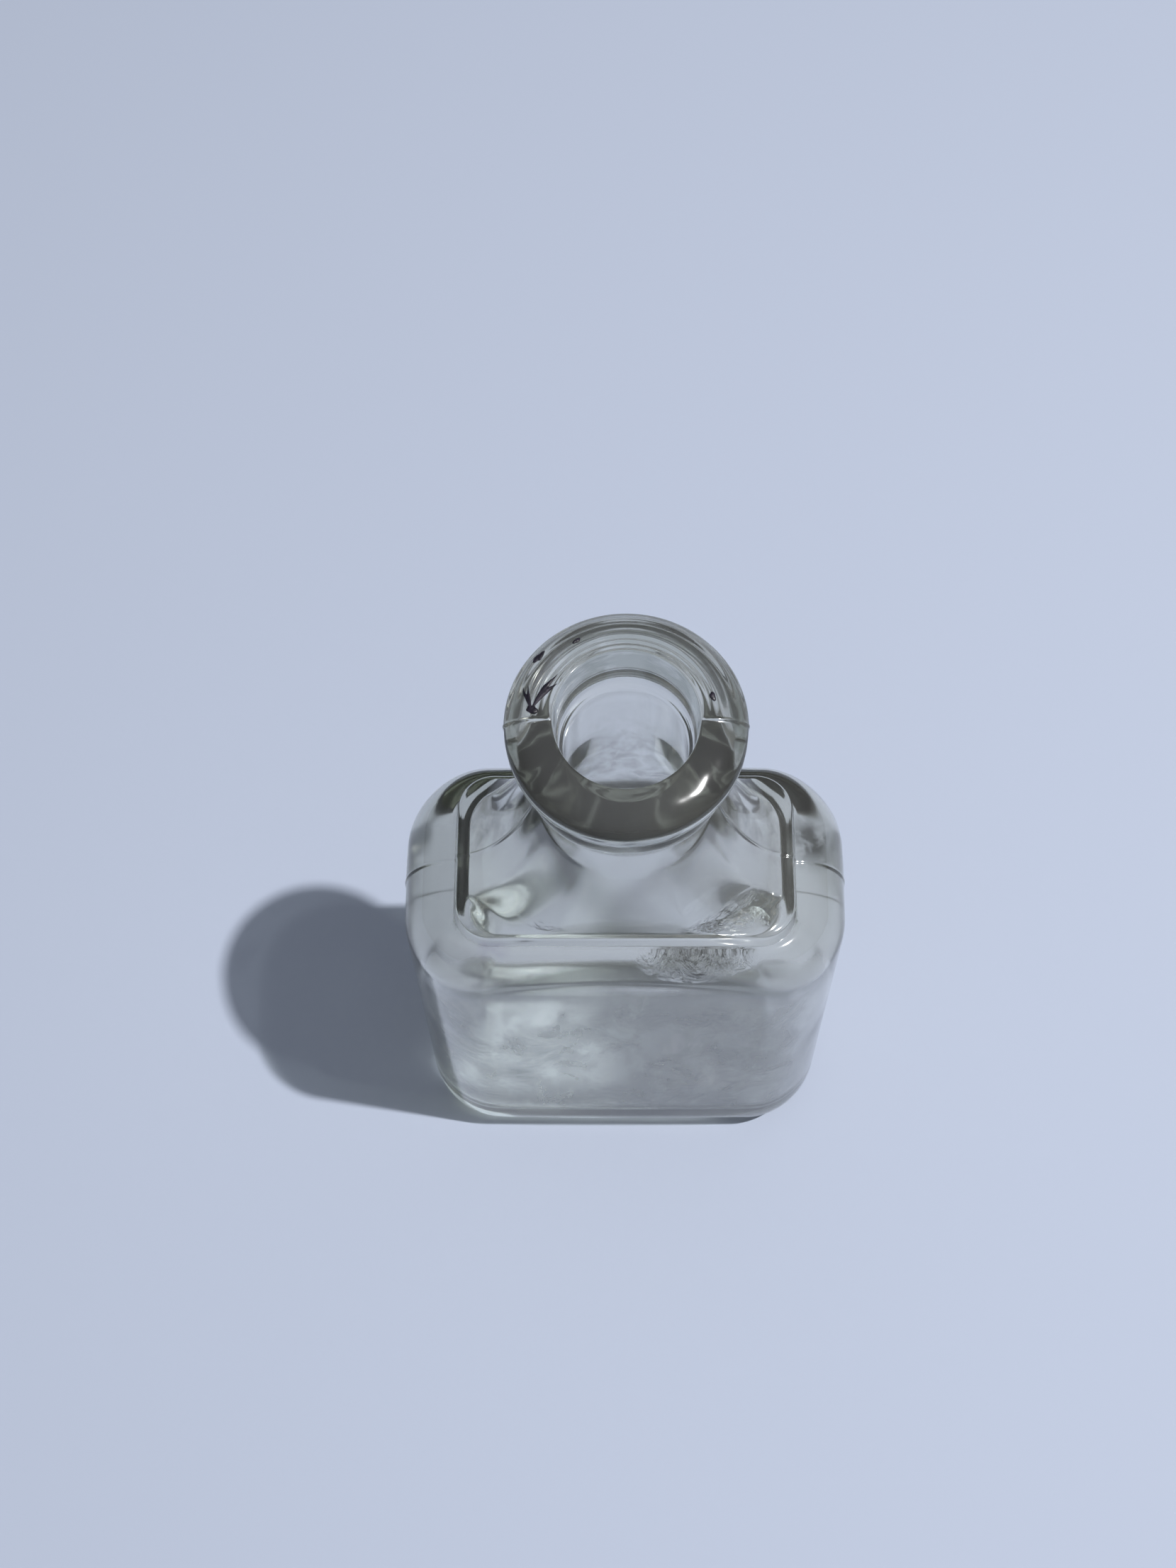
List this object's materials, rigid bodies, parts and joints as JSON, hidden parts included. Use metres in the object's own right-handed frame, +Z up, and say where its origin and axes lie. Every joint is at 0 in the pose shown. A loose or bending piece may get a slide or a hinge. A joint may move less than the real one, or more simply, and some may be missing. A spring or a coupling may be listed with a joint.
{
  "type": "ink bottle",
  "caption": "Empty, open ink bottle of clear moulded glass: flat rounded rectangular body, stepped shoulder, round neck with a thick rolled lip, and traces of dried ink.",
  "frame": {"origin": "on the resting plane, under the middle of the neck and body", "axes": "+X along the wide side of the body, +Y towards the back face, +Z up through the mouth"},
  "size_m": [0.054, 0.0284, 0.1083],
  "materials": {
    "clear_glass": "polished, faintly olive",
    "dried_ink": "matt, purple black"
  },
  "bodies": {
    "root": {"glass_bottle": "clear_glass", "ink_crust": "dried_ink", "ink_fleck_left": "dried_ink", "ink_fleck_back": "dried_ink", "ink_fleck_right": "dried_ink"}
  },
  "joints": []
}
